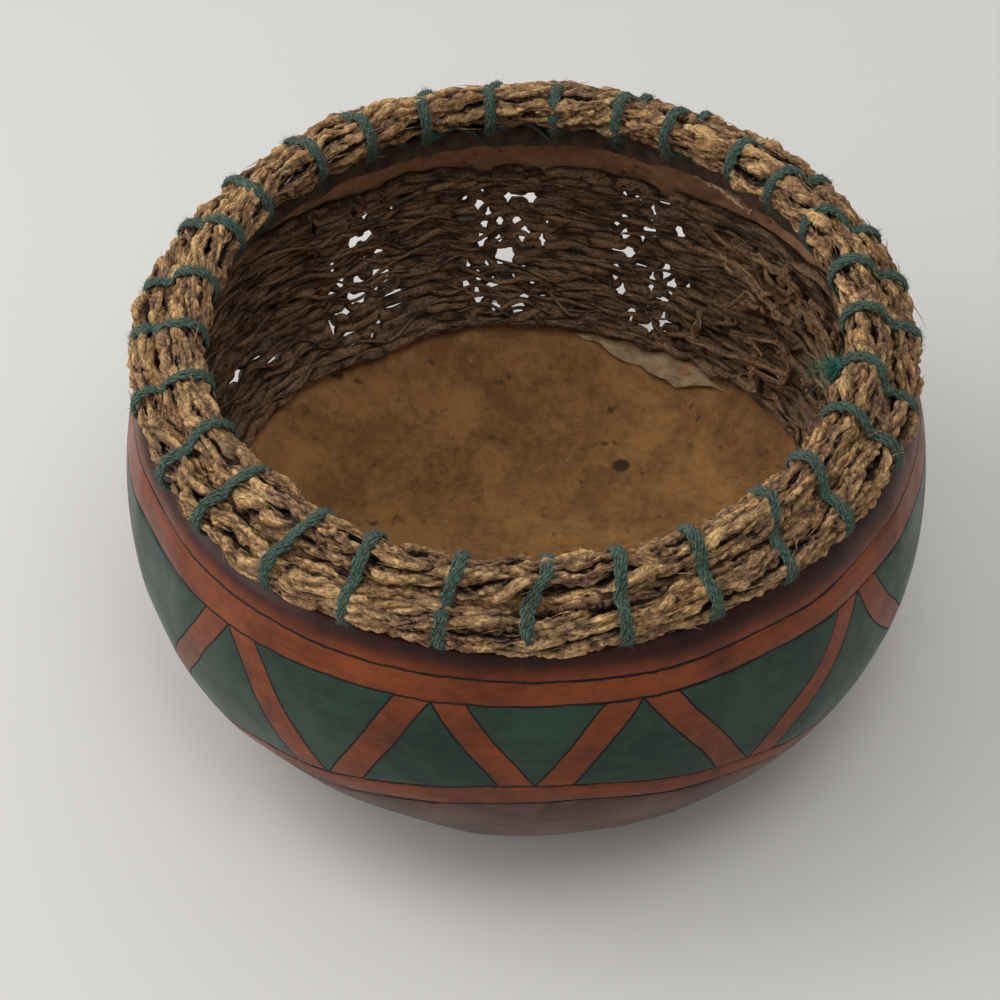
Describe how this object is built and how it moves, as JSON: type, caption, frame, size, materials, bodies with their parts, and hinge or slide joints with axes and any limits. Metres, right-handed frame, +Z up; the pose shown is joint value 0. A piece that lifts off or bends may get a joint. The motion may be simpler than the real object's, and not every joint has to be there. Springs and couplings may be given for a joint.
{
  "type": "carved gourd bowl",
  "caption": "Round open gourd bowl with a burned and dyed zigzag band, a rim of stitched root coils and a root lining behind cut windows.",
  "frame": {"origin": "centre of the flat foot on the table", "axes": "+Z up through the mouth, -Y towards the camera, the cut windows towards +Y"},
  "size_m": [0.2823, 0.2819, 0.1579],
  "materials": {
    "gourd": "dyed and satin varnished",
    "root_bark": "rough bark",
    "yarn": "fuzzy",
    "lining_root": "dark, dull",
    "rootlet": "dull",
    "twig": "bare, dull",
    "inner_skin": "papery"
  },
  "bodies": {
    "root": {"gourd_shell": "gourd", "inner_coil_core": "root_bark", "inner_coil_strand_1": "root_bark", "inner_coil_strand_2": "root_bark", "inner_coil_strand_3": "root_bark", "inner_coil_strand_4": "root_bark", "inner_coil_strand_5": "root_bark", "inner_coil_strand_6": "root_bark", "outer_coil_core": "root_bark", "outer_coil_strand_1": "root_bark", "outer_coil_strand_2": "root_bark", "outer_coil_strand_3": "root_bark", "outer_coil_strand_4": "root_bark", "outer_coil_strand_5": "root_bark", "outer_coil_strand_6": "root_bark", "stitch_thread_1": "yarn", "stitch_thread_2": "yarn", "lining_root_01": "lining_root", "lining_root_02": "lining_root", "lining_root_03": "lining_root", "lining_root_04": "lining_root", "lining_root_05": "lining_root", "lining_root_06": "lining_root", "lining_root_07": "lining_root", "lining_root_08": "lining_root", "lining_root_09": "lining_root", "lining_root_10": "lining_root", "lining_root_11": "lining_root", "lining_root_12": "lining_root", "lining_root_13": "lining_root", "lining_root_14": "lining_root", "lining_root_15": "lining_root", "lining_root_16": "lining_root", "lining_root_17": "lining_root", "rootlet_1": "rootlet", "rootlet_2": "rootlet", "rootlet_3": "rootlet", "rootlet_4": "rootlet", "rootlet_5": "rootlet", "rootlet_6": "rootlet", "loose_twig": "twig", "inner_skin_flap": "inner_skin"}
  },
  "joints": []
}
